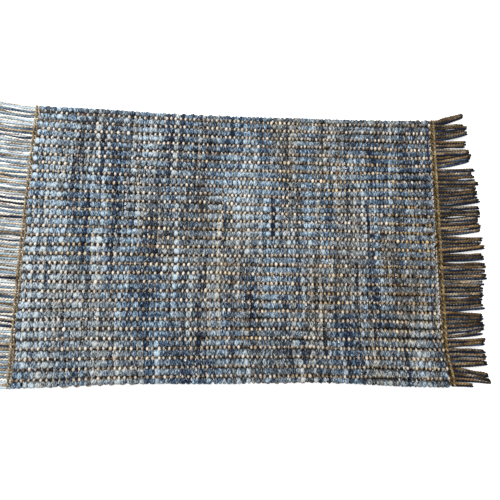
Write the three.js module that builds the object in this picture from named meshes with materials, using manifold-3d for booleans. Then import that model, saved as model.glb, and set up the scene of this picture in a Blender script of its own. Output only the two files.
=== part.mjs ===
// A dhurrie: a flat-woven floor rug of thick blue wefts and thin tan jute wefts, laid pick and pick
// on jute warps. The warp ends hang out of both short ends as a fringe, locked by a twined cord.
// Units are millimetres and +Z is up. The rug lies on the plane z = 0 with its length along X.
import * as THREE from 'three';
import { mergeVertices } from 'three/addons/utils/BufferGeometryUtils.js';
import Module from 'manifold-3d';

const wasm = await Module();
wasm.setup();

// Woven field
const FIELD_LENGTH = 890; // between the two headings
const FIELD_WIDTH = 600; // selvedge to selvedge, at the ends
const FIELD_THICKNESS = 10; // over the blue rows
const TAN_ROW_DROP = 2; // how far the tan rows lie below the blue rows
const SELVEDGE_DROP = 3.5; // how far the rounded long sides lie below the blue rows
const WARP_COUNT = 61; // odd warps carry a blue row on top, even warps a tan row
const LAST_ROW = WARP_COUNT + 1; // rows of points across the width: a selvedge, the warps, a selvedge
const FIELD_STEPS = 12; // facets along the length
const SIDE_DRAW_IN = 8; // each long side is drawn in by this at mid-length
const NEAR_SIDE_SKEW = 5; // the near side lies in by this at the right end, and out by it at the left
const LEFT_END_BULGE = 4; // the left end swells out by this at mid-width
const CORNER_FLARE = 12; // the near right corner runs out by this
const CORNER_FLARE_START = 0.72; // share of the half width at which the flare starts

// Headings, end cords and fringe strands
const PARTING = 0.3; // gap between neighbouring pieces
const HEADING_WIDTH = 8; // narrow strip that the strands are rooted in
const STRAND_HEIGHT = 4.6; // also the height of the heading
const STRAND_BASE = 6.6; // width on the floor
const STRAND_CROWN = 4.2; // width on top
const STRAND_TIP_SHARE = 0.6; // size of the tip's section against the root's
const STRAND_TAPER_POWER = 3; // the higher, the later along its run a strand thins
const STRAND_LEAN_POWER = 1.5; // the higher, the later along its run a strand leans
const STRAND_STEPS = 4; // facets along a strand
const STRAND_ROOT = 4; // length of strand buried in the heading
const STRAND_LENGTH_SPREAD = 4; // strands of one lock differ by this, either way
const CORD_RADIUS = 2.4; // mean radius of the twined end cord
const CORD_LOBE = 0.35; // how far its two plies stand out of the mean radius
const CORD_TWIST_PITCH = 19.7; // length of one full turn, which takes in two warps
const CORD_STEPS_PER_TURN = 6;
const CORD_SIDES = 6;

// The fringe lies in locks, listed from the far side (+Y) to the near side. All sizes are in mm.
// count: strands in the lock; length: from the heading to the tips; lean: sideways drift of the
// tips, towards +Y if positive; pinch: share by which the tips close up on the lock's middle.
const RIGHT_LOCKS = [
  { count: 1, length: 70, lean: 23, pinch: 0 },
  { count: 4, length: 77, lean: 12, pinch: 0.4 },
  { count: 2, length: 74, lean: 3, pinch: 0.2 },
  { count: 5, length: 82, lean: 12, pinch: 0.45 },
  { count: 3, length: 87, lean: 6, pinch: 0 },
  { count: 6, length: 94, lean: 8, pinch: 0.2 },
  { count: 7, length: 93, lean: 8, pinch: 0.1 },
  { count: 4, length: 94, lean: 6, pinch: 0.35 },
  { count: 2, length: 94, lean: 5, pinch: 0.1 },
  { count: 4, length: 97, lean: 2, pinch: 0.15 },
  { count: 1, length: 90, lean: 1, pinch: 0 },
  { count: 6, length: 87, lean: 5, pinch: 0.05 },
  { count: 5, length: 84, lean: 4, pinch: 0.35 },
  { count: 1, length: 84, lean: 11, pinch: 0 },
  { count: 2, length: 84, lean: 5, pinch: 0.35 },
  { count: 2, length: 84, lean: 0, pinch: 0 },
  { count: 2, length: 80, lean: 2, pinch: 0.3 },
  { count: 3, length: 82, lean: -9, pinch: 0.35 },
  { count: 1, length: 43, lean: -2, pinch: 0 },
];
const LEFT_LOCKS = [
  { count: 3, length: 86, lean: 11, pinch: 0.1 },
  { count: 6, length: 88, lean: 10, pinch: 0.06 },
  { count: 5, length: 84, lean: 9, pinch: 0.08 },
  { count: 8, length: 90, lean: 9, pinch: 0.05 },
  { count: 3, length: 86, lean: 10, pinch: 0.12 },
  { count: 8, length: 90, lean: 8, pinch: 0.05 },
  { count: 5, length: 86, lean: 8, pinch: 0.08 },
  { count: 7, length: 92, lean: 8, pinch: 0.05 },
  { count: 4, length: 88, lean: 8, pinch: 0.1 },
  { count: 7, length: 90, lean: 7, pinch: 0.06 },
  { count: 4, length: 86, lean: 6, pinch: 0.08 },
  { count: 1, length: 70, lean: 3, pinch: 0 },
];

// Constants of the jitter function
const JITTER_FREQUENCY = 12.9898;
const JITTER_SCALE = 43758.5453;

// Colours, as seen from a step away
const FIELD_BLUE = 0x5c6b80;
const STRAND_TAN = 0x8f7c66;
const CORD_BROWN = 0x7d6346;

// The y at x and v, which runs from -1 at the near side to 1 at the far side. The long sides are
// drawn in towards mid-length, and the near one runs askew.
function acrossAt(x, v) {
  const fromMiddle = THREE.MathUtils.clamp((2 * x) / FIELD_LENGTH, -1, 1);
  const halfWidth = FIELD_WIDTH / 2 - SIDE_DRAW_IN * (1 - fromMiddle ** 2);
  return v * halfWidth + (NEAR_SIDE_SKEW * fromMiddle * (1 - v)) / 2;
}

// The x of the field's end at v.
function endX(side, v) {
  if (side < 0) {
    return -FIELD_LENGTH / 2 - LEFT_END_BULGE * (1 - v * v);
  }
  const flare = THREE.MathUtils.smoothstep(-v, CORNER_FLARE_START, 1);
  return FIELD_LENGTH / 2 + CORNER_FLARE * flare;
}

// The v of a warp, counted from the near side.
function warpShare(warp) {
  return (2 * warp + 1) / WARP_COUNT - 1;
}

// The v of a row of points: row 0 and the last one are the selvedges, the others lie on the warps.
function rowShare(row) {
  return THREE.MathUtils.clamp(warpShare(row - 1), -1, 1);
}

// A number between -1 and 1 that looks random and is the same for the same seed.
function jitter(seed) {
  const scrambled = JITTER_SCALE * Math.sin(JITTER_FREQUENCY * seed);
  return 2 * (scrambled - Math.floor(scrambled)) - 1;
}

// A closed skin over sections that all have the same number of corners.
function loft(sections) {
  const corners = sections[0].length;
  const lastRing = (sections.length - 1) * corners;
  const index = [];
  for (let ring = 0; ring < lastRing; ring += corners) {
    for (let corner = 0; corner < corners; corner++) {
      const here = ring + corner;
      const next = ring + ((corner + 1) % corners);
      index.push(here, next, next + corners, here, next + corners, here + corners);
    }
  }
  for (let corner = 1; corner + 1 < corners; corner++) {
    index.push(0, corner + 1, corner);
    index.push(lastRing, lastRing + corner, lastRing + corner + 1);
  }
  const geometry = new THREE.BufferGeometry().setFromPoints(sections.flat());
  geometry.setIndex(index);
  return geometry;
}

// The same skin with its faces turned over.
function turned(geometry) {
  const index = geometry.getIndex();
  for (let corner = 0; corner < index.count; corner += 3) {
    const second = index.getX(corner + 1);
    index.setX(corner + 1, index.getX(corner + 2));
    index.setX(corner + 2, second);
  }
  return geometry;
}

function toSolid(geometry) {
  const skin = mergeVertices(geometry);
  const mesh = new wasm.Mesh({
    numProp: 3,
    vertProperties: new Float32Array(skin.getAttribute('position').array),
    triVerts: new Uint32Array(skin.getIndex().array),
  });
  return new wasm.Manifold(mesh);
}

function toGeometry(solid) {
  const mesh = solid.getMesh();
  const geometry = new THREE.BufferGeometry();
  geometry.setAttribute('position', new THREE.BufferAttribute(mesh.vertProperties, 3));
  geometry.setIndex(new THREE.BufferAttribute(mesh.triVerts, 1));
  return geometry;
}

// The woven field: a slab with the rug's outline, ribbed along X by its blue and tan rows.
function wovenField() {
  const slab = new THREE.BoxGeometry(2, LAST_ROW, 2, FIELD_STEPS, LAST_ROW, 1);
  slab.deleteAttribute('normal');
  slab.deleteAttribute('uv');
  const geometry = mergeVertices(slab);
  const points = geometry.getAttribute('position');
  for (let i = 0; i < points.count; i++) {
    const row = Math.round(points.getY(i) + LAST_ROW / 2);
    const v = rowShare(row);
    const along = (points.getX(i) + 1) / 2;
    const x = THREE.MathUtils.lerp(endX(-1, v), endX(1, v), along);
    const onTop = points.getZ(i) > 0;
    points.setXYZ(i, x, acrossAt(x, v), onTop ? rowHeight(row) : 0);
  }
  return geometry;
}

// The height of the field over a row of points.
function rowHeight(row) {
  if (row === 0 || row === LAST_ROW) {
    return FIELD_THICKNESS - SELVEDGE_DROP;
  }
  const isBlue = row % 2 === 1;
  return isBlue ? FIELD_THICKNESS : FIELD_THICKNESS - TAN_ROW_DROP;
}

// The strip of plain warp just past the field's end, which the strands are rooted in.
function heading(side) {
  const sections = [];
  for (let row = 0; row <= LAST_ROW; row++) {
    const v = rowShare(row);
    const inner = endX(side, v) + side * PARTING;
    const outer = inner + side * HEADING_WIDTH;
    const y = acrossAt(inner, v);
    sections.push([
      new THREE.Vector3(inner, y, 0),
      new THREE.Vector3(outer, y, 0),
      new THREE.Vector3(outer, y, STRAND_HEIGHT),
      new THREE.Vector3(inner, y, STRAND_HEIGHT),
    ]);
  }
  const skin = loft(sections);
  return side > 0 ? turned(skin) : skin;
}

// One strand, level on the floor, from inside the heading to its tip.
function strand(side, root, tip) {
  const sections = [];
  for (let step = 0; step <= STRAND_STEPS; step++) {
    const along = step / STRAND_STEPS;
    const size = 1 - (1 - STRAND_TIP_SHARE) * along ** STRAND_TAPER_POWER;
    const x = THREE.MathUtils.lerp(root.x, tip.x, along);
    const y = THREE.MathUtils.lerp(root.y, tip.y, along ** STRAND_LEAN_POWER);
    const base = (size * STRAND_BASE) / 2;
    const crown = (size * STRAND_CROWN) / 2;
    sections.push([
      new THREE.Vector3(x, y - base, 0),
      new THREE.Vector3(x, y + base, 0),
      new THREE.Vector3(x, y + crown, size * STRAND_HEIGHT),
      new THREE.Vector3(x, y - crown, size * STRAND_HEIGHT),
    ]);
  }
  const skin = loft(sections);
  return side > 0 ? skin : turned(skin);
}

// A fringe: the heading with every strand of its locks.
function fringe(side, locks) {
  let solid = toSolid(heading(side));
  let warp = WARP_COUNT - 1;
  for (const lock of locks) {
    const middle = acrossAt(endX(side, 0), warpShare(warp - (lock.count - 1) / 2));
    for (let i = 0; i < lock.count; i++, warp--) {
      const v = warpShare(warp);
      const outer = endX(side, v) + side * (PARTING + HEADING_WIDTH);
      const y = acrossAt(outer, v);
      const length = lock.length + STRAND_LENGTH_SPREAD * jitter(warp + 1);
      const root = new THREE.Vector2(outer - side * STRAND_ROOT, y);
      const tip = new THREE.Vector2(outer + side * length, y + lock.lean + lock.pinch * (middle - y));
      solid = solid.add(toSolid(strand(side, root, tip)));
    }
  }
  return toGeometry(solid);
}

// The twined end cord, lying on the heading, with its two plies standing out of its face.
function endCord(side) {
  const turns = Math.round(FIELD_WIDTH / CORD_TWIST_PITCH);
  const steps = turns * CORD_STEPS_PER_TURN;
  const reach = CORD_RADIUS + CORD_LOBE;
  const sections = [];
  for (let step = 0; step <= steps; step++) {
    const v = (2 * step) / steps - 1;
    const x = endX(side, v) + side * (PARTING + HEADING_WIDTH / 2);
    const y = acrossAt(x, v);
    const z = STRAND_HEIGHT + PARTING + reach;
    const twist = (2 * Math.PI * step) / CORD_STEPS_PER_TURN;
    sections.push(cordSection(x, y, z, twist));
  }
  return loft(sections);
}

// A two-lobed section of the cord across its run.
function cordSection(x, y, z, twist) {
  const corners = [];
  for (let corner = 0; corner < CORD_SIDES; corner++) {
    const angle = (2 * Math.PI * corner) / CORD_SIDES;
    const radius = CORD_RADIUS + CORD_LOBE * Math.cos(2 * angle - twist);
    corners.push(new THREE.Vector3(x - radius * Math.cos(angle), y, z + radius * Math.sin(angle)));
  }
  return corners;
}

function piece(name, geometry, color) {
  geometry.computeVertexNormals();
  const material = new THREE.MeshStandardMaterial({ name, color, roughness: 1, metalness: 0 });
  const mesh = new THREE.Mesh(geometry, material);
  mesh.name = name;
  return mesh;
}

// The whole rug, with its bounding box centred on the origin.
function dhurrie() {
  const rug = new THREE.Group();
  rug.name = 'dhurrie';
  rug.add(
    piece('woven_field', wovenField(), FIELD_BLUE),
    piece('fringe_left', fringe(-1, LEFT_LOCKS), STRAND_TAN),
    piece('fringe_right', fringe(1, RIGHT_LOCKS), STRAND_TAN),
    piece('end_cord_left', endCord(-1), CORD_BROWN),
    piece('end_cord_right', endCord(1), CORD_BROWN),
  );
  const centre = new THREE.Box3().setFromObject(rug).getCenter(new THREE.Vector3());
  for (const mesh of rug.children) {
    mesh.position.set(-centre.x, -centre.y, 0);
  }
  return rug;
}

export default dhurrie();
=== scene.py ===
"""The looks of a dhurrie: every yarn of its weave, its end cords and fringe, and a plain studio.

Lengths are in metres. The rug's length and its warps lie along X, and its wefts run along Y.
"""
import math
from collections import namedtuple

import bpy
import numpy as np
from mathutils import Matrix, Vector


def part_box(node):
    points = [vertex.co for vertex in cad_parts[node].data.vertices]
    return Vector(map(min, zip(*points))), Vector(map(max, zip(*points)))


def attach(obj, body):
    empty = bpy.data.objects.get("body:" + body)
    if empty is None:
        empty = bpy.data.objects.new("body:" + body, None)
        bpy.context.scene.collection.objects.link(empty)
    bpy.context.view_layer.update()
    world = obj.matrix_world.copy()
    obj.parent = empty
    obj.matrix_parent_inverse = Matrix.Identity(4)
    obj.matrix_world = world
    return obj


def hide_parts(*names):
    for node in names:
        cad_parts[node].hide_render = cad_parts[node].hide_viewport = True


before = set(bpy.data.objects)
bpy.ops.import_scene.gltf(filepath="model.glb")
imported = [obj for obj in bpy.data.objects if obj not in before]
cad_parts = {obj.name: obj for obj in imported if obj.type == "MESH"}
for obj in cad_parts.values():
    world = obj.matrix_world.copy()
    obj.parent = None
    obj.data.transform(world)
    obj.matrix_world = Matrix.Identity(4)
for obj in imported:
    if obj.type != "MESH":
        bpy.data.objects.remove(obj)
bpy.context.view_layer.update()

MM = 0.001
TURN = 2 * math.pi
rng = np.random.default_rng(20)

# Plan of the rug, the same as that of its solids
FIELD_LENGTH = 890 * MM
FIELD_WIDTH = 600 * MM
SIDE_DRAW_IN = 8 * MM  # of each long side at mid-length
NEAR_SIDE_SKEW = 5 * MM  # the near side lies in by this at the right end, and out by it at the left
LEFT_END_BULGE = 4 * MM
CORNER_FLARE = 12 * MM  # of the near right corner
CORNER_FLARE_START = 0.72  # share of the half width
WARP_COUNT = 61
PARTING = 0.3 * MM  # between the field and the heading
HEADING_WIDTH = 8 * MM

# The weave: pairs of one blue and one tan pick, closer together towards the right end
PAIR_COUNT = 88
PITCH_LEFT = 11.6 * MM
PITCH_RIGHT = 9.1 * MM
PITCH_EASE = (0.15, 0.65)  # shares of the length between which the pitch changes
PITCH_SAMPLES = 2000
END_MARGIN = 5 * MM
MID_HEIGHT = 5 * MM  # of the weave's middle over the floor
FLOOR_CLEARANCE = 0.05 * MM
STEPS_PER_WARP = 4
TURN_STEPS = 4
TURN_REACH = 2.9 * MM  # of a pick past its last warp
TURN_FULLNESS = 0.6  # of a pick's section in its turn, from between the warps, 0, to on a warp, 1

# share_in_pair: where in its pair a pick lies. over: 1 if it passes over the outermost warps, -1 if
# under. swing: height of its crests over the weave's middle. crest_power: the lower, the broader the
# crests. crest_extra: how much longer it stays above the warps than below them. turn_sweep: how far
# round the selvedge it turns. turn_lift: the least lift of its turns.
Weft = namedtuple("Weft", "share_in_pair over swing crest_power crest_extra turn_sweep turn_lift")
BLUE_WEFT = Weft(0.3, 1, 3.05 * MM, 0.6, 0.18, 0.85 * math.pi, 0.9)
TAN_WEFT = Weft(0.8, -1, 2.9 * MM, 0.95, 0.0, 0.5 * math.pi, 0.7)

# Half widths and half thicknesses of the yarns, between the warps and on a warp. The blue picks
# fill the room they have, so their half widths are shares of the pitch.
BLUE_WIDTH_SHARES = (0.42, 0.53)
BLUE_THICKS = (3.4 * MM, 1.9 * MM)
BLUE_SIDES = 8
TAN_WIDTHS = (1.6 * MM, 2.9 * MM)
TAN_THICKS = (1.5 * MM, 2.0 * MM)
TAN_SIDES = 6
TAN_LOBE = 0.1  # depth of its two plies, as a share of the radius
YARN_TURN = 13 * MM  # length in which two plies make a full turn
WARP_HALF_WIDTH = 1.6 * MM
WARP_HALF_THICK = 1.7 * MM
WARP_SIDES = 5
WARP_SWING = 0.8 * MM
WARP_STEPS_PER_PAIR = 2

# Unevenness along a yarn: its spread, over how many rings it changes, and over how many neighbouring
# yarns it is alike
Uneven = namedtuple("Uneven", "spread reach across", defaults=(0,))

# Unevenness of the yarns' run and thickness
WANDER_X = 1.5 * MM
WANDER_X_LENGTH = 160 * MM
WANDER_Y = 1.2 * MM
WANDER_Y_LENGTH = 200 * MM
WANDER_WAVES = 7
WANDER_LENGTHS = (0.7, 1.5)  # shortest and longest wave, as shares of the length given
PICK_KINK = Uneven(0.8 * MM, 4)  # along X
PICK_RISE = Uneven(0.35 * MM, 3)  # up and down
BLUE_SWELL = Uneven(0.15, 2)
BLUE_LUMPS = 0.11
TAN_SWELL = Uneven(0.16, 2)
WARP_SWELL = Uneven(0.06, 6)
PLY_SWELL = Uneven(0.08, 3)

# Tones run from 0, dark, to 1, light: the level of each yarn, and its unevenness
BLUE_TONE = 0.49
BLUE_PATCHES = Uneven(0.04, 28, 1)
BLUE_STREAKS = Uneven(0.15, 20)
BLUE_MOTTLE = Uneven(0.08, 2)
BLUE_DARK_STREAKS = 0.3
BLUE_DARK_REACH = 14
BLUE_DARK_START = 1.1  # how far out of the ordinary a dark streak is
# Painted light on the blue wefts: lighter towards the left end, from a share of the way there, and
# darker towards the near right
PAINTED_LEFT_LIGHT = 0.22
PAINTED_LIGHT_START = 0.4  # share of the way to the left end
PAINTED_CORNER_LIGHT = 0.06
CREST_LIFT = 0.18  # how much less shaded the flanks of a crest are
TAN_TONE = 0.57
# Painted light on the tan wefts: lighter towards the left end
TAN_PAINTED_LEFT_LIGHT = 0.16
TAN_PATCHES = Uneven(0.08, 20, 1)
TAN_MOTTLE = Uneven(0.2, 2)
SPECKLE = 0.08  # of the wefts, from point to point
# Painted shade: the warps' low tone stands for the shade they lie in between the tan dots, and they are
# painted darker towards the right end, where they lie deeper
WARP_TONE = 0.14
WARP_PAINTED_LEFT_LIGHT = 0.16
WARP_MOTTLE = Uneven(0.14, 4)
WARP_LIFTS = (0.1, 1.5)  # in the weave's middle, and on its faces
TWINE_MOTTLE = Uneven(0.12, 3)
TWINE_SPECKLE = 0.10

# The odd hue of a yarn: its share at the right end, how much less of it there is at the left end,
# and its unevenness along one pick and over neighbouring picks
Odd = namedtuple("Odd", "level less_to_left streaks patches")
BLUE_ODD = Odd(0.64, 0.46, Uneven(0.3, 14), Uneven(0.34, 22, 2))
TAN_ODD = Odd(0.2, 0.2, Uneven(0.0, 10), Uneven(0.35, 10, 2))
WARP_ODD = 0.3
WARP_ODD_STREAKS = Uneven(0.4, 6)
TWINE_ODD_STREAKS = Uneven(0.3, 6)

# The twined rows at each end. outward: from the field's end to the row's middle.
Twine = namedtuple("Twine", "outward height ply_radius turn_length tone")
INNER_TWINE_OUTWARD = -2.0 * MM
INNER_TWINE_HEIGHT = 6.0 * MM
INNER_PLY_RADIUS = 1.5 * MM
INNER_TURN = 19.7 * MM
CORD_PLY_RADIUS = 1.6 * MM
CORD_TURN = 12 * MM
CORD_TONE = 0.54
PLY_SWING = 0.9  # of the plies round the row's middle, in ply radii
TWINE_SPAN = 0.995  # share of the width
TWINE_RINGS = 360
TWINE_SIDES = 6

# The fringe lies in locks, listed from the far side to the near one, the same as in its solids.
# Lengths, and the sideways lean of the tips, are in mm. pinch: share by which the tips close up.
Lock = namedtuple("Lock", "strands length lean pinch")
RIGHT_LOCKS = [
    Lock(1, 70, 23, 0),
    Lock(4, 77, 12, 0.4),
    Lock(2, 74, 3, 0.2),
    Lock(5, 82, 12, 0.45),
    Lock(3, 87, 6, 0),
    Lock(6, 94, 8, 0.2),
    Lock(7, 93, 8, 0.1),
    Lock(4, 94, 6, 0.35),
    Lock(2, 94, 5, 0.1),
    Lock(4, 97, 2, 0.15),
    Lock(1, 90, 1, 0),
    Lock(6, 87, 5, 0.05),
    Lock(5, 84, 4, 0.35),
    Lock(1, 84, 11, 0),
    Lock(2, 84, 5, 0.35),
    Lock(2, 84, 0, 0),
    Lock(2, 80, 2, 0.3),
    Lock(3, 82, -9, 0.35),
    Lock(1, 43, -2, 0),
]
LEFT_LOCKS = [
    Lock(3, 86, 11, 0.1),
    Lock(6, 88, 10, 0.06),
    Lock(5, 84, 9, 0.08),
    Lock(8, 90, 9, 0.05),
    Lock(3, 86, 10, 0.12),
    Lock(8, 90, 8, 0.05),
    Lock(5, 86, 8, 0.08),
    Lock(7, 92, 8, 0.05),
    Lock(4, 88, 8, 0.1),
    Lock(7, 90, 7, 0.06),
    Lock(4, 86, 6, 0.08),
    Lock(1, 70, 3, 0),
]
LEAN_POWER = 1.5  # the higher, the later along its run a strand leans
STRAND_LENGTH_SPREAD = 4 * MM
STRAND_WANDER = Uneven(0.9 * MM, 7)
WANDER_GAIN = 3  # a strand wanders in full from a third of its run
STRAND_SINK = 0.25  # share of its run in which a strand sinks to the floor
STRAND_SWELL = Uneven(0.09, 3)
STRAND_MOTTLE = Uneven(0.1, 5)
STRAND_SPECKLE = 0.06
STRAND_ODD_STREAKS = Uneven(0.6, 8)
PLY_SHADE = 0.2  # how much darker the groove between two plies is than their crests
PLY_MIDDLE = 0.6  # how far out a ply has its strand's own tone
STACK_HEIGHT = 2.4 * MM  # of every second strand where a lock closes up
STACK_GAIN = 3  # strands are stacked in full where a lock closes up by a third
TIP_THINNING = 0.3
TIP_THINNING_POWER = 30
TIP_SHADE_SPAN = (0.88, 0.97)  # shares of the run between which the shade of a tip sets in

# The look of one kind of strand at one end: its tone with its spread, and the spread of its odd hue
StrandLook = namedtuple("StrandLook", "radius tone tone_spread odd_spread")

# An end of the rug. heading_tone: of the row that closes the weave. cord_odd: share of paler yarn in
# its cords. tip_shade: how much darker the tips of its strands are. far_width: of the outermost far
# strand, in strand widths.
End = namedtuple("End", "side word locks heading_tone cord_odd tip_shade far_width jute blue")
# The left end's strands are lighter than the right end's, partly their own colour and partly painted
# light, lighter at the left. The right end's blue strands, between the jute ones, are near black,
# partly painted shade.
LEFT_END = End(
    -1, "left", LEFT_LOCKS, heading_tone=0.38, cord_odd=0.5, tip_shade=0.0, far_width=1.0,
    jute=StrandLook(2.6 * MM, 0.82, 0.12, 0.15),
    blue=StrandLook(2.6 * MM, 0.60, 0.26, 0.35),
)
RIGHT_END = End(
    1, "right", RIGHT_LOCKS, heading_tone=0.28, cord_odd=0.0, tip_shade=0.35, far_width=1.8,
    jute=StrandLook(3.1 * MM, 0.42, 0.07, 0.35),
    blue=StrandLook(2.7 * MM, 0.05, 0.07, 0.35),
)

# Loose fibres on the woven field
FIBRE_COUNT = 1800
FIBRE_RADIUS = 0.28 * MM
FIBRE_RINGS = 5
FIBRE_SIDES = 3
FIBRE_ALONG = (0.01, 0.99)  # shares of the length between which they lie
FIBRE_HEIGHT = 10.2 * MM
FIBRE_HEIGHT_SPREAD = 0.3 * MM
FIBRE_HALF_LENGTHS = (4 * MM, 11 * MM)
FIBRE_TURN_SPREAD = 0.6
FIBRE_BEND = 1.5 * MM
FIBRE_ARCH = 1.2 * MM
FIBRE_TONES = (0.45, 1.0)

# Camera, seen from the middle of the woven field
CAMERA_PLACE = Vector((-0.0156, -0.1498, 0.857))
CAMERA_TARGET = Vector((0.0275, -0.0146, 0.004))
CAMERA_UP = Vector((-0.0147, 1.0, 0.0))
CAMERA_LENS = 28.8
CAMERA_SENSOR = 36

# Studio
FLOOR_SIZE = 8
FLOOR_COLOUR = (0.93, 0.93, 0.93, 1)
FLOOR_GLOW = 0.45
WHITE = (1.0, 1.0, 1.0, 1)
SKY_STRENGTH = 0.75
KEY_POWER = 70
KEY_SIZE = 0.9
KEY_PLACE = Vector((-0.9, 1.3, 1.9))

field_low, field_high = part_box("woven_field")
CENTRE = Vector((
    field_low.x + FIELD_LENGTH / 2 + LEFT_END_BULGE,
    field_high.y - FIELD_WIDTH / 2,
    0.0,
))


# Plan of the rug

def smooth_step(low, high, value):
    t = np.clip((value - low) / (high - low), 0, 1)
    return t * t * (3 - 2 * t)


def across_at(x, v):
    """The y at x and v, which runs from -1 at the near side to 1 at the far side. The long sides
    are drawn in towards mid-length, and the near one runs askew."""
    from_centre = np.clip(2 * x / FIELD_LENGTH, -1, 1)
    half_width = FIELD_WIDTH / 2 - SIDE_DRAW_IN * (1 - from_centre ** 2)
    return v * half_width + NEAR_SIDE_SKEW * from_centre * (1 - v) / 2


def end_x(side, v):
    """The x of the field's end at v."""
    if side < 0:
        return -FIELD_LENGTH / 2 - LEFT_END_BULGE * (1 - v ** 2)
    return FIELD_LENGTH / 2 + CORNER_FLARE * smooth_step(CORNER_FLARE_START, 1, -v)


def warp_share(warp):
    """The v of a warp, counted from the near side."""
    return (2 * warp + 1) / WARP_COUNT - 1


def plan(along, warp):
    """x and y at a share along the length and at a place among the warps."""
    v = warp_share(warp)
    x = (1 - along) * end_x(-1, v) + along * end_x(1, v)
    return x, across_at(x, v)


def pair_places(share_in_pair):
    """Shares along the length at which one of the two picks of each pair lies."""
    fine = np.linspace(END_MARGIN, FIELD_LENGTH - END_MARGIN, PITCH_SAMPLES) / FIELD_LENGTH
    pitch = PITCH_LEFT + (PITCH_RIGHT - PITCH_LEFT) * smooth_step(*PITCH_EASE, fine)
    count = np.cumsum(1 / pitch)
    count = (count - count[0]) / (count[-1] - count[0]) * PAIR_COUNT
    return np.interp(np.arange(PAIR_COUNT) + share_in_pair, count, fine)


def to_left(points):
    """Share of the way from the right end to the left one."""
    return np.clip(0.5 - points[..., 0] / FIELD_LENGTH, 0, 1)


# Random values that change slowly

def smoothed(values, reach):
    """Rows of values blurred over about reach samples and brought back to unit spread."""
    offsets = np.arange(-3 * reach, 3 * reach + 1)
    kernel = np.exp(-0.5 * (offsets / reach) ** 2)
    blurred = np.stack([np.convolve(row, kernel, "valid") for row in values])
    return blurred / np.sqrt((kernel ** 2).sum())


def drift(rows, length, reach, across=0):
    """Rows of random values of unit spread that change over about reach samples.
    Neighbouring rows are alike over about as many rows as across says."""
    values = smoothed(rng.standard_normal((rows + 6 * across, length + 6 * reach)), reach)
    if across:
        values = smoothed(values.T, across).T
    return values


def unevenness(uneven, size):
    """Random values for a number of yarns and a number of rings, which size holds."""
    return uneven.spread * drift(*size, uneven.reach, uneven.across)


def landscape(x, y, wavelength):
    """A random landscape of about unit height whose hills are about a wavelength apart."""
    total = np.zeros(np.broadcast(x, y).shape)
    for _ in range(WANDER_WAVES):
        angle, phase = rng.uniform(0, TURN, 2)
        length = wavelength * rng.uniform(*WANDER_LENGTHS)
        run = x * math.cos(angle) + y * math.sin(angle)
        total += np.sin(TURN * run / length + phase)
    return total * math.sqrt(2 / WANDER_WAVES)


# Meshes of many tubes

UV_GAP = 0.05  # on each side of a strip of the map, as a share of the strip


def unit(vectors):
    return vectors / np.linalg.norm(vectors, axis=-1, keepdims=True)


def tube_points(paths, half_wide, half_thick, shape):
    """Points round each path: tubes, rings, sides, xyz. shape scales the radius of each point."""
    sides = shape.shape[-1]
    tangent = unit(np.gradient(paths, axis=1))
    across = unit(np.cross(tangent, [0.0, 0.0, 1.0]))
    up = np.cross(across, tangent)
    angle = TURN * np.arange(sides) / sides
    wide = half_wide[..., None, None] * np.cos(angle)[:, None] * across[:, :, None, :]
    thick = half_thick[..., None, None] * np.sin(angle)[:, None] * up[:, :, None, :]
    points = paths[:, :, None, :] + (wide + thick) * shape[..., None]
    points[..., 2] = np.maximum(points[..., 2], FLOOR_CLEARANCE)
    return points


def lobed(paths, sides, depth):
    """Radius factors of a yarn of two plies that are twisted together."""
    steps = np.linalg.norm(np.diff(paths, axis=1), axis=-1)
    run = np.concatenate([np.zeros((len(paths), 1)), np.cumsum(steps, axis=1)], axis=1)
    angle = TURN * np.arange(sides) / sides
    start = rng.uniform(0, TURN, (len(paths), 1))
    twist = TURN * run / YARN_TURN + start
    return 1 + depth * np.cos(2 * (angle - twist[..., None]))


def tube_faces(tubes, rings, sides):
    """Corner indices of the side faces and of the end caps."""
    ring = np.arange(sides)
    after = (ring + 1) % sides
    first = np.arange(rings - 1)[:, None] * sides
    quad = np.stack([first + ring, first + sides + ring, first + sides + after, first + after], -1)
    start = np.arange(tubes) * rings * sides
    quads = (start[:, None, None, None] + quad).reshape(-1, 4)
    last = (rings - 1) * sides
    caps = np.concatenate([start[:, None] + ring, start[:, None] + last + ring[::-1]])
    return quads, caps


def tube_uv(tubes, rings, sides):
    """Each tube is one strip of the map, its length along u."""
    ring, side = np.meshgrid(np.arange(rings - 1), np.arange(sides), indexing="ij")
    u = np.stack([ring, ring + 1, ring + 1, ring], -1) / (rings - 1)
    v = np.stack([side, side, side + 1, side + 1], -1) / sides
    strip = np.arange(tubes)[:, None, None, None] + UV_GAP + (1 - 2 * UV_GAP) * v
    quad = np.stack(np.broadcast_arrays(u[None], strip / tubes), -1)
    cap_v = (np.tile(np.arange(tubes), 2)[:, None] + 0.5) / tubes * np.ones(sides)
    cap_u = np.repeat([0.0, 1.0], tubes)[:, None] * np.ones(sides)
    return np.concatenate([quad.reshape(-1, 2), np.stack([cap_u, cap_v], -1).reshape(-1, 2)])


def tubes_mesh(name, points):
    """Closed, smoothly shaded tubes in one mesh, with a map."""
    tubes, rings, sides, _ = points.shape
    quads, caps = tube_faces(tubes, rings, sides)
    corners = np.concatenate([quads.ravel(), caps.ravel()]).astype(np.int32)
    quad_starts = 4 * np.arange(len(quads))
    cap_starts = 4 * len(quads) + sides * np.arange(len(caps))
    starts = np.concatenate([quad_starts, cap_starts]).astype(np.int32)
    mesh = bpy.data.meshes.new(name)
    mesh.vertices.add(tubes * rings * sides)
    mesh.vertices.foreach_set("co", (points + np.array(CENTRE)).astype(np.float32).ravel())
    mesh.loops.add(len(corners))
    mesh.loops.foreach_set("vertex_index", corners)
    mesh.polygons.add(len(starts))
    mesh.polygons.foreach_set("loop_start", starts)
    mesh.update(calc_edges=True)
    mesh.shade_smooth()
    uv = tube_uv(tubes, rings, sides).astype(np.float32)
    mesh.uv_layers.new(name="OFBake").data.foreach_set("uv", uv.ravel())
    return mesh


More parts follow.
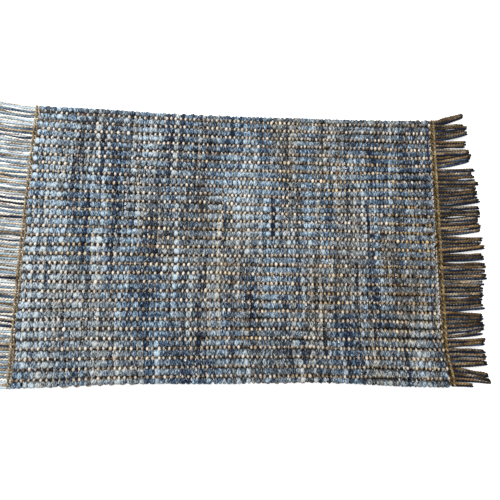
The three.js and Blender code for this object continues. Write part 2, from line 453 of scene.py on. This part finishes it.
def tubes_piece(name, points, values, material, replaced):
    """A joined mesh of tubes, with a float attribute for each entry of values."""
    mesh = tubes_mesh(name, points)
    for key, value in values.items():
        filled = np.broadcast_to(value, points.shape[:3]).astype(np.float32)
        mesh.attributes.new(key, "FLOAT", "POINT").data.foreach_set("value", filled.ravel())
    mesh.materials.append(material)
    piece = bpy.data.objects.new(name, mesh)
    bpy.context.scene.collection.objects.link(piece)
    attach(piece, "root")
    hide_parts(replaced)
    return piece


# Yarn materials

FIBRE_SLANT = math.radians(20)
ALONG_Y = (2.3 * MM, 10.0 * MM, 2.3 * MM)  # grain of fibres that run along Y
ALONG_X = (10.0 * MM, 2.3 * MM, 2.3 * MM)
NOISE_DETAIL = 3.0
NOISE_ROUGHNESS = 0.6
ROUGHNESS = 0.92
SPECULAR = 0.05
SHEEN_ROUGHNESS = 0.6
BUMP_STRENGTH = 0.7
BUMP_DEPTH = 0.9 * MM
# Painted shade: a yarn darkens with its lift attribute, to HALF_DEEP_SHADE at HALF_DEEP_LIFT and to its
# deep_shade at DEEP_LIFT
DEEP_LIFT = 0.25  # the lift of what counts as deep in the weave
HALF_DEEP_LIFT = 0.6
HALF_DEEP_SHADE = 0.46
OUT_LIFT = 0.88  # the lift of what counts as out of all shade

# Colours from dark to light, each at its tone
BLUE_TONES = [
    (0.0, (0.005, 0.009, 0.022)),
    (0.28, (0.026, 0.045, 0.082)),
    (0.52, (0.087, 0.139, 0.196)),
    (0.78, (0.230, 0.318, 0.393)),
    (1.0, (0.43, 0.52, 0.585)),
]
GREY_TONES = [
    (0.0, (0.008, 0.011, 0.015)),
    (0.3, (0.052, 0.059, 0.065)),
    (0.65, (0.208, 0.212, 0.201)),
    (1.0, (0.47, 0.465, 0.425)),
]
TAN_TONES = [
    (0.0, (0.020, 0.013, 0.008)),
    (0.35, (0.20, 0.150, 0.108)),
    (0.65, (0.48, 0.395, 0.305)),
    (1.0, (0.70, 0.62, 0.525)),
]
ORANGE_TONES = [
    (0.0, (0.025, 0.013, 0.005)),
    (0.4, (0.22, 0.13, 0.052)),
    (1.0, (0.70, 0.52, 0.27)),
]
CORD_TONES = [
    (0.0, (0.012, 0.007, 0.003)),
    (0.5, (0.165, 0.105, 0.032)),
    (1.0, (0.52, 0.38, 0.16)),
]
STRAND_TONES = [
    (0.0, (0.006, 0.004, 0.002)),
    (0.4, (0.085, 0.057, 0.028)),
    (0.7, (0.25, 0.205, 0.148)),
    (1.0, (0.78, 0.77, 0.72)),
]


def ramp_node(tree, stops, factor):
    node = tree.nodes.new("ShaderNodeValToRGB")
    elements = node.color_ramp.elements
    while len(elements) < len(stops):
        elements.new(0.5)
    for element, (place, colour) in zip(elements, stops):
        element.position = place
        element.color = (*colour, 1.0)
    tree.links.new(factor, node.inputs["Fac"])
    return node.outputs["Color"]


def attribute_node(tree, name):
    node = tree.nodes.new("ShaderNodeAttribute")
    node.attribute_name = name
    return node.outputs["Fac"]


def math_node(tree, operation, *values):
    node = tree.nodes.new("ShaderNodeMath")
    node.operation = operation
    for socket, value in zip(node.inputs, values):
        if isinstance(value, float):
            socket.default_value = value
        else:
            tree.links.new(value, socket)
    return node.outputs[0]


def mix_node(tree, blend_type, factor, first, second):
    node = tree.nodes.new("ShaderNodeMix")
    node.data_type = "RGBA"
    node.blend_type = blend_type
    if isinstance(factor, float):
        node.inputs["Factor"].default_value = factor
    else:
        tree.links.new(factor, node.inputs["Factor"])
    tree.links.new(first, node.inputs["A"])
    tree.links.new(second, node.inputs["B"])
    return node.outputs["Result"]


def fibre_noise(tree, size, turn):
    """Noise whose grains have about the given size in the object's own space, turned about Z."""
    place = tree.nodes.new("ShaderNodeTexCoord")
    mapping = tree.nodes.new("ShaderNodeMapping")
    mapping.vector_type = "TEXTURE"
    mapping.inputs["Scale"].default_value = size
    mapping.inputs["Rotation"].default_value = (0.0, 0.0, turn)
    noise = tree.nodes.new("ShaderNodeTexNoise")
    noise.inputs["Scale"].default_value = 1.0
    noise.inputs["Detail"].default_value = NOISE_DETAIL
    noise.inputs["Roughness"].default_value = NOISE_ROUGHNESS
    tree.links.new(place.outputs["Object"], mapping.inputs["Vector"])
    tree.links.new(mapping.outputs["Vector"], noise.inputs["Vector"])
    return noise.outputs["Fac"]


def grey(level):
    return (level, level, level)


def yarn_colour(tree, tones, odd_tones, fibre, grain_share, deep_shade):
    """The attribute tone, grained by the fibres, runs through tones. The attribute odd mixes in
    odd_tones, and the attribute lift paints shade on what lies deep in the weave."""
    grained = math_node(tree, "MULTIPLY_ADD", fibre, grain_share, -grain_share)
    tone = math_node(tree, "ADD", attribute_node(tree, "tone"), grained)
    main = ramp_node(tree, tones, tone)
    odd = ramp_node(tree, odd_tones, tone)
    dyed = mix_node(tree, "MIX", attribute_node(tree, "odd"), main, odd)
    depth = [
        (DEEP_LIFT, grey(deep_shade)),
        (HALF_DEEP_LIFT, grey(HALF_DEEP_SHADE)),
        (OUT_LIFT, grey(1.0)),
    ]
    shade = ramp_node(tree, depth, attribute_node(tree, "lift"))
    return mix_node(tree, "MULTIPLY", 1.0, dyed, shade)


def yarn_material(name, tones, odd_tones, grain, grain_share, deep_shade, sheen=0.03):
    """A matte yarn. grain is the size of its fibres, and deep_shade its painted shade deep down."""
    material = bpy.data.materials.new(name)
    material.use_nodes = True
    tree = material.node_tree
    shader = tree.nodes["Principled BSDF"]
    shader.inputs["Roughness"].default_value = ROUGHNESS
    shader.inputs["Specular IOR Level"].default_value = SPECULAR
    shader.inputs["Sheen Weight"].default_value = sheen
    shader.inputs["Sheen Roughness"].default_value = SHEEN_ROUGHNESS
    slants = (fibre_noise(tree, grain, FIBRE_SLANT), fibre_noise(tree, grain, -FIBRE_SLANT))
    fibre = math_node(tree, "ADD", *slants)
    colour = yarn_colour(tree, tones, odd_tones, fibre, grain_share, deep_shade)
    tree.links.new(colour, shader.inputs["Base Color"])
    bump = tree.nodes.new("ShaderNodeBump")
    bump.inputs["Strength"].default_value = BUMP_STRENGTH
    bump.inputs["Distance"].default_value = BUMP_DEPTH
    tree.links.new(fibre, bump.inputs["Height"])
    tree.links.new(bump.outputs["Normal"], shader.inputs["Normal"])
    return material


blue_yarn = yarn_material(
    "blue_yarn", BLUE_TONES, GREY_TONES, ALONG_Y, grain_share=2.1, deep_shade=0.03, sheen=0.04)
tan_yarn = yarn_material(
    "tan_yarn", TAN_TONES, ORANGE_TONES, ALONG_Y, grain_share=1.2, deep_shade=0.12)
warp_yarn = yarn_material(
    "warp_yarn", TAN_TONES, BLUE_TONES, ALONG_X, grain_share=0.6, deep_shade=0.03)
cord_yarn = yarn_material(
    "cord_yarn", CORD_TONES, TAN_TONES, ALONG_Y, grain_share=0.9, deep_shade=0.05)
strand_jute = yarn_material(
    "strand_jute", STRAND_TONES, ORANGE_TONES, ALONG_X, grain_share=0.9, deep_shade=0.02)
strand_blue = yarn_material(
    "strand_blue", BLUE_TONES, GREY_TONES, ALONG_X, grain_share=0.9, deep_shade=0.02)


# Wefts

def lift_of(points):
    """How far a point stands out of the weave's middle, on either face, from 0 to 1."""
    return np.clip(np.abs(points[..., 2] - MID_HEIGHT) / MID_HEIGHT, 0, 1)


def loose_lift(height_share):
    """The lift of a yarn that isn't woven in, for its painted shade: 0.5 at its flanks, and 1 on top
    and below.
    """
    share = np.clip(height_share, 0, 1)
    return np.maximum(share, 1 - share)


def between(pair, share):
    low, high = pair
    return low + (high - low) * share


def turn_rings(last, shift, outward, sweep):
    """Rings that carry each pick from its last point round the selvedge, shifted along X by the way."""
    angle = sweep * np.arange(1, TURN_STEPS + 1) / TURN_STEPS
    x = last[:, None, 0] + shift[:, None] * (1 - np.cos(angle))
    y = last[:, None, 1] + outward * TURN_REACH * np.sin(angle)
    z = MID_HEIGHT + (last[:, None, 2] - MID_HEIGHT) * np.cos(angle)
    return np.stack(np.broadcast_arrays(x, y, z), -1)


def meeting_shifts(x, first):
    """How far each pick turns along X to meet its partner: picks first and first + 1, and so on."""
    shift = np.zeros_like(x)
    for pick in range(first, len(x) - 1, 2):
        half = (x[pick + 1] - x[pick]) / 2
        shift[pick:pick + 2] = (half, -half)
    return shift


def weft_middles(weft):
    """Centre lines of all picks of one kind between the outermost warps, and where on them the
    crossings are: 1 over a warp, -1 under one."""
    warp = np.linspace(0, WARP_COUNT - 1, (WARP_COUNT - 1) * STEPS_PER_WARP + 1)
    x, y = plan(pair_places(weft.share_in_pair)[:, None], warp[None, :])
    x = x + WANDER_X * landscape(x, y, WANDER_X_LENGTH) + unevenness(PICK_KINK, x.shape)
    y = y + WANDER_Y * landscape(x, y, WANDER_Y_LENGTH)
    crossing = weft.over * np.cos(math.pi * warp)[None, :] * np.ones_like(x)
    crossing = np.clip(crossing + weft.crest_extra, -1, 1)
    z = MID_HEIGHT + weft.swing * np.sign(crossing) * np.abs(crossing) ** weft.crest_power
    z = z + unevenness(PICK_RISE, x.shape)
    return np.stack([x, y, z], -1), crossing


def weft_paths(weft):
    """Centre lines of all picks of one kind with their turns at the selvedges, how far on a warp
    each of their rings is, and the least lift of each ring."""
    middle, crossing = weft_middles(weft)
    first, last = middle[:, 0], middle[:, -1]
    meets = 1.0 if weft.over < 0 else 0.0
    near = turn_rings(first, meets * meeting_shifts(first[:, 0], 1), -1, weft.turn_sweep)
    far = turn_rings(last, meets * meeting_shifts(last[:, 0], 0), 1, weft.turn_sweep)
    paths = np.concatenate([near[:, ::-1], middle, far], axis=1)
    turns = np.ones((len(middle), TURN_STEPS))
    on_warp = np.concatenate([TURN_FULLNESS * turns, np.abs(crossing), TURN_FULLNESS * turns], axis=1)
    outside = np.concatenate([turns, np.zeros_like(crossing), turns], axis=1)
    return paths, on_warp, weft.turn_lift * outside


def painted_light_trend(points):
    """Broad painted light: lighter towards the left end, darker towards the near right."""
    past_start = (to_left(points) - PAINTED_LIGHT_START) / (1 - PAINTED_LIGHT_START)
    to_corner = points[..., 0] / FIELD_LENGTH * points[..., 1] / FIELD_WIDTH
    return PAINTED_LEFT_LIGHT * past_start ** 3 + PAINTED_CORNER_LIGHT * to_corner


def odd_share(points, odd):
    """Share of the odd hue at each point. It varies half as much at the left end."""
    size = points.shape[:2]
    left = to_left(points)
    varied = unevenness(odd.streaks, size) + unevenness(odd.patches, size)
    spread = (1 - left / 2) * varied[..., None]
    return np.clip(odd.level - odd.less_to_left * left + spread, 0, 1)


def halves(name, points, values, material):
    """The picks of one kind as two pieces, left and right, each of a size that one mesh may have."""
    made = []
    for number, chosen in enumerate(np.array_split(np.arange(len(points)), 2), 1):
        own = {key: value[chosen] for key, value in values.items()}
        made.append(tubes_piece(
            f"{name}_{number}", points[chosen], own, material, "woven_field"))
    return made


def blue_wefts():
    paths, on_warp, least_lift = weft_paths(BLUE_WEFT)
    size = on_warp.shape
    pitch = np.gradient(paths[..., 0].mean(axis=1))[:, None]
    swell = 1 + unevenness(BLUE_SWELL, size)
    lumps = 1 + BLUE_LUMPS * rng.standard_normal((*size, BLUE_SIDES))
    half_wide = between(BLUE_WIDTH_SHARES, on_warp) * pitch * swell
    points = tube_points(paths, half_wide, between(BLUE_THICKS, on_warp), lumps)
    tone = BLUE_TONE + unevenness(BLUE_PATCHES, size)
    tone = tone + unevenness(BLUE_STREAKS, size)
    tone = tone - BLUE_DARK_STREAKS * np.maximum(drift(*size, BLUE_DARK_REACH) - BLUE_DARK_START, 0)
    # painted light: lighter towards the left end, darker towards the near right
    tone = (tone + unevenness(BLUE_MOTTLE, size))[..., None] + painted_light_trend(points)
    tone = tone + SPECKLE * rng.standard_normal(tone.shape)
    lift = np.maximum(lift_of(points) + CREST_LIFT * on_warp[..., None], least_lift[..., None])
    values = {"tone": tone, "odd": odd_share(points, BLUE_ODD), "lift": lift}
    return halves("blue_weft", points, values, blue_yarn)


def tan_wefts():
    paths, on_warp, least_lift = weft_paths(TAN_WEFT)
    size = on_warp.shape
    swell = 1 + unevenness(TAN_SWELL, size)
    half_wide = between(TAN_WIDTHS, on_warp) * swell
    half_thick = between(TAN_THICKS, on_warp) * swell
    points = tube_points(paths, half_wide, half_thick, lobed(paths, TAN_SIDES, TAN_LOBE))
    tone = TAN_TONE + unevenness(TAN_PATCHES, size)
    tone = (tone + unevenness(TAN_MOTTLE, size))[..., None]
    # painted light: lighter towards the left end
    tone = tone + TAN_PAINTED_LEFT_LIGHT * to_left(points)
    tone = tone + SPECKLE * rng.standard_normal(tone.shape)
    lift = np.maximum(lift_of(points), least_lift[..., None])
    values = {"tone": tone, "odd": odd_share(points, TAN_ODD), "lift": lift}
    return halves("tan_weft", points, values, tan_yarn)


# Warps

def warps():
    """The warp sheet that carries the wefts, each warp swinging a little away from every pick."""
    warp = np.arange(WARP_COUNT)[:, None]
    pair = np.linspace(0, PAIR_COUNT - 1, (PAIR_COUNT - 1) * WARP_STEPS_PER_PAIR + 1)
    inner = np.interp(pair, np.arange(PAIR_COUNT), pair_places(BLUE_WEFT.share_in_pair))
    along = np.concatenate([[0.0], inner, [1.0]])
    phase = np.concatenate([[0.5], pair, [PAIR_COUNT - 0.5]])
    x, y = plan(along[None, :], warp)
    blue_over = np.where(warp % 2 == 0, 1, -1)
    z = MID_HEIGHT - WARP_SWING * blue_over * np.cos(TURN * phase)[None, :]
    paths = np.stack(np.broadcast_arrays(x, y, z), -1)
    size = paths.shape[:2]
    swell = 1 + unevenness(WARP_SWELL, size)
    round_section = np.ones((*size, WARP_SIDES))
    points = tube_points(paths, WARP_HALF_WIDTH * swell, WARP_HALF_THICK * swell, round_section)
    # painted shade: the warps are dark, and darker towards the right end
    tone = WARP_TONE + WARP_PAINTED_LEFT_LIGHT * to_left(points)
    tone = tone + unevenness(WARP_MOTTLE, size)[..., None]
    odd = np.clip(WARP_ODD + unevenness(WARP_ODD_STREAKS, size), 0, 1)[..., None]
    values = {"tone": tone, "odd": odd, "lift": between(WARP_LIFTS, lift_of(points))}
    return tubes_piece("warp_sheet", points, values, warp_yarn, "woven_field")


# Twined rows at the ends

def twined_row(name, end, twine, replaced):
    """Two plies wound round each other along an end of the rug."""
    v = np.linspace(-TWINE_SPAN, TWINE_SPAN, TWINE_RINGS)
    turn = TURN * v * FIELD_WIDTH / 2 / twine.turn_length
    swing = PLY_SWING * twine.ply_radius
    plies = []
    for start in (0, math.pi):
        x = end_x(end.side, v) + end.side * twine.outward + swing * np.cos(turn + start)
        z = twine.height + swing * np.sin(turn + start)
        plies.append(np.stack([x, across_at(x, v), z], -1))
    paths = np.stack(plies)
    size = paths.shape[:2]
    radius = twine.ply_radius * (1 + unevenness(PLY_SWELL, size))
    points = tube_points(paths, radius, radius, np.ones((*size, TWINE_SIDES)))
    tone = (twine.tone + unevenness(TWINE_MOTTLE, size))[..., None]
    tone = tone + TWINE_SPECKLE * rng.standard_normal(points.shape[:3])
    odd = np.clip(end.cord_odd + unevenness(TWINE_ODD_STREAKS, size), 0, 1)[..., None]
    lift = loose_lift((points[..., 2] - twine.height) / (4 * twine.ply_radius) + 0.5)
    values = {"tone": tone, "odd": odd, "lift": lift}
    return tubes_piece(name, points, values, cord_yarn, replaced)


def heading_twine(end):
    """The row that closes the weave."""
    twine = Twine(
        INNER_TWINE_OUTWARD, INNER_TWINE_HEIGHT, INNER_PLY_RADIUS, INNER_TURN, end.heading_tone)
    return twined_row(f"heading_twine_{end.word}", end, twine, "woven_field")


def end_cord(end):
    """The cord that lies on the roots of the fringe."""
    node = f"end_cord_{end.word}"
    low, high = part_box(node)
    outward = PARTING + HEADING_WIDTH / 2
    twine = Twine(outward, (low.z + high.z) / 2, CORD_PLY_RADIUS, CORD_TURN, CORD_TONE)
    return twined_row(f"end_cord_plies_{end.word}", end, twine, node)


# Fringe

# Two kinds of strand lie side by side. offset: sideways from the strand's own line. lobe: depth of
# its two plies, as a share of the radius. shortening: the share that is missing at most.
StrandKind = namedtuple("StrandKind", "name material rings sides offset lobe shortening")
JUTE_STRAND = StrandKind("jute", strand_jute, 44, 7, 1.6 * MM, 0.22, 0.06)
BLUE_STRAND = StrandKind("blue", strand_blue, 30, 6, -3.0 * MM, 0.15, 0.02)


def strand_ends(end):
    """Root and tip of each strand on the floor, from the far side to the near one, and how much
    each is stacked on its neighbours where a lock closes up."""
    roots, tips, stack = [], [], []
    warp = WARP_COUNT - 1
    for lock in end.locks:
        middle = across_at(end_x(end.side, 0), warp_share(warp - (lock.strands - 1) / 2))
        for number in range(lock.strands):
            v = warp_share(warp)
            root_x = end_x(end.side, v) + end.side * PARTING
            y = across_at(root_x, v)
            reach = HEADING_WIDTH + lock.length * MM + STRAND_LENGTH_SPREAD * rng.uniform(-1, 1)
            roots.append((root_x, y))
            tips.append((root_x + end.side * reach, y + lock.lean * MM + lock.pinch * (middle - y)))
            stack.append(STACK_HEIGHT * (number % 2) * min(1, STACK_GAIN * lock.pinch))
            warp -= 1
    return np.array(roots), np.array(tips), np.array(stack)


def strand_paths(ends, kind, radius):
    """Strands that leave the heading at mid height, sink to the floor and lie along it."""
    roots, tips, stack = ends
    along = np.linspace(0, 1, kind.rings)[None, :]
    count = len(roots)
    reach = 1 - kind.shortening * rng.uniform(0, 1, (count, 1))
    x = roots[:, :1] + (tips[:, :1] - roots[:, :1]) * along * reach
    y = roots[:, 1:] + (tips[:, 1:] - roots[:, 1:]) * along ** LEAN_POWER + kind.offset
    wander = unevenness(STRAND_WANDER, (count, kind.rings))
    y = y + wander * np.minimum(1, WANDER_GAIN * along)
    sink = smooth_step(0, STRAND_SINK, along)
    z = MID_HEIGHT * (1 - sink) + (radius + stack[:, None]) * sink
    return np.stack(np.broadcast_arrays(x, y, z), -1)


def strand_tubes(paths, kind, radius, far_width):
    """Points of the strands, and how far out each stands on its ply, from 0 to 1."""
    size = paths.shape[:2]
    along = np.linspace(0, 1, kind.rings)[None, :]
    taper = 1 - TIP_THINNING * along ** TIP_THINNING_POWER
    half_thick = radius * taper * (1 + unevenness(STRAND_SWELL, size))
    half_wide = half_thick.copy()
    half_wide[0] *= far_width
    shape = lobed(paths, kind.sides, kind.lobe)
    points = tube_points(paths, half_wide, half_thick, shape)
    return points, (shape - 1 + kind.lobe) / (2 * kind.lobe)


def strand_values(points, ply, look, tip_shade):
    """The attributes of the strands at one end."""
    count, rings, sides, _ = points.shape
    size = (count, rings)
    along = np.linspace(0, 1, rings)[None, :, None]
    tone = look.tone + look.tone_spread * rng.standard_normal((count, 1, 1))
    tone = tone + unevenness(STRAND_MOTTLE, size)[..., None] + PLY_SHADE * (ply - PLY_MIDDLE)
    tone = tone + STRAND_SPECKLE * rng.standard_normal((count, rings, sides))
    tone = tone - tip_shade * smooth_step(*TIP_SHADE_SPAN, along)
    odd = look.odd_spread * (rng.standard_normal((count, 1)) + unevenness(STRAND_ODD_STREAKS, size))
    low = points[..., 2].min(axis=-1, keepdims=True)
    lift = loose_lift((points[..., 2] - low) / (2 * look.radius))
    return {"tone": tone, "odd": np.clip(odd, 0, 1)[..., None], "lift": lift}


def fringe(end):
    """Both kinds of strand at one end."""
    ends = strand_ends(end)
    made = []
    for kind, look in ((JUTE_STRAND, end.jute), (BLUE_STRAND, end.blue)):
        paths = strand_paths(ends, kind, look.radius)
        points, ply = strand_tubes(paths, kind, look.radius, end.far_width)
        values = strand_values(points, ply, look, end.tip_shade)
        made.append(tubes_piece(
            f"fringe_{kind.name}_{end.word}", points, values, kind.material,
            f"fringe_{end.word}"))
    return made


def end_pieces(end):
    return [heading_twine(end), end_cord(end), *fringe(end)]


# Loose fibres

def loose_fibres():
    """Short fibres that have worked loose, mostly along the wefts, each arched a little."""
    column = (FIBRE_COUNT, 1)
    along = np.linspace(-1, 1, FIBRE_RINGS)[None, :]
    x, y = plan(rng.uniform(*FIBRE_ALONG, column), rng.uniform(0, WARP_COUNT - 1, column))
    half = rng.uniform(*FIBRE_HALF_LENGTHS, column)
    angle = rng.normal(math.pi / 2, FIBRE_TURN_SPREAD, column)
    bend = rng.normal(0, FIBRE_BEND, column)
    x = x + half * along * np.cos(angle) + bend * along ** 2
    y = y + half * along * np.sin(angle)
    z = FIBRE_HEIGHT + FIBRE_HEIGHT_SPREAD * rng.standard_normal(column) - FIBRE_ARCH * along ** 2
    paths = np.stack(np.broadcast_arrays(x, y, z), -1)
    radius = np.full(paths.shape[:2], FIBRE_RADIUS)
    points = tube_points(paths, radius, radius, np.ones((FIBRE_COUNT, FIBRE_RINGS, FIBRE_SIDES)))
    tone = rng.uniform(*FIBRE_TONES, (FIBRE_COUNT, 1, 1))
    odd = rng.uniform(0, 1, (FIBRE_COUNT, 1, 1))
    values = {"tone": tone, "odd": odd, "lift": np.ones((1, 1, 1))}
    return tubes_piece("loose_fibres", points, values, blue_yarn, "woven_field")


# Studio

def floor():
    bpy.ops.mesh.primitive_plane_add(size=FLOOR_SIZE)
    ground = bpy.context.object
    ground.name = "floor"
    material = bpy.data.materials.new("floor")
    material.use_nodes = True
    shader = material.node_tree.nodes["Principled BSDF"]
    shader.inputs["Base Color"].default_value = FLOOR_COLOUR
    shader.inputs["Roughness"].default_value = 1.0
    shader.inputs["Specular IOR Level"].default_value = 0.0
    shader.inputs["Emission Color"].default_value = WHITE
    shader.inputs["Emission Strength"].default_value = FLOOR_GLOW
    ground.data.materials.append(material)


def lights():
    world = bpy.data.worlds.new("studio")
    world.use_nodes = True
    background = world.node_tree.nodes["Background"]
    background.inputs["Color"].default_value = WHITE
    background.inputs["Strength"].default_value = SKY_STRENGTH
    bpy.context.scene.world = world
    lamp = bpy.data.lights.new("key", "AREA")
    lamp.energy = KEY_POWER
    lamp.shape = "DISK"
    lamp.size = KEY_SIZE
    key = bpy.data.objects.new("key", lamp)
    key.location = KEY_PLACE
    key.rotation_euler = (-KEY_PLACE).to_track_quat("-Z", "Y").to_euler()
    bpy.context.scene.collection.objects.link(key)


def camera():
    data = bpy.data.cameras.new("camera")
    data.lens = CAMERA_LENS
    data.sensor_width = CAMERA_SENSOR
    seen = bpy.data.objects.new("camera", data)
    back = (CAMERA_PLACE - CAMERA_TARGET).normalized()
    right = CAMERA_UP.cross(back).normalized()
    up = back.cross(right)
    turn = Matrix((right, up, back)).transposed().to_4x4()
    seen.matrix_world = Matrix.Translation(CAMERA_PLACE + CENTRE) @ turn
    bpy.context.scene.collection.objects.link(seen)
    bpy.context.scene.camera = seen


camera()
floor()
lights()
bpy.context.scene.view_settings.view_transform = "Standard"

blue_left, blue_right = blue_wefts()
tan_left, tan_right = tan_wefts()
warp_sheet = warps()
left_pieces = end_pieces(LEFT_END)
right_pieces = end_pieces(RIGHT_END)
fibres = loose_fibres()
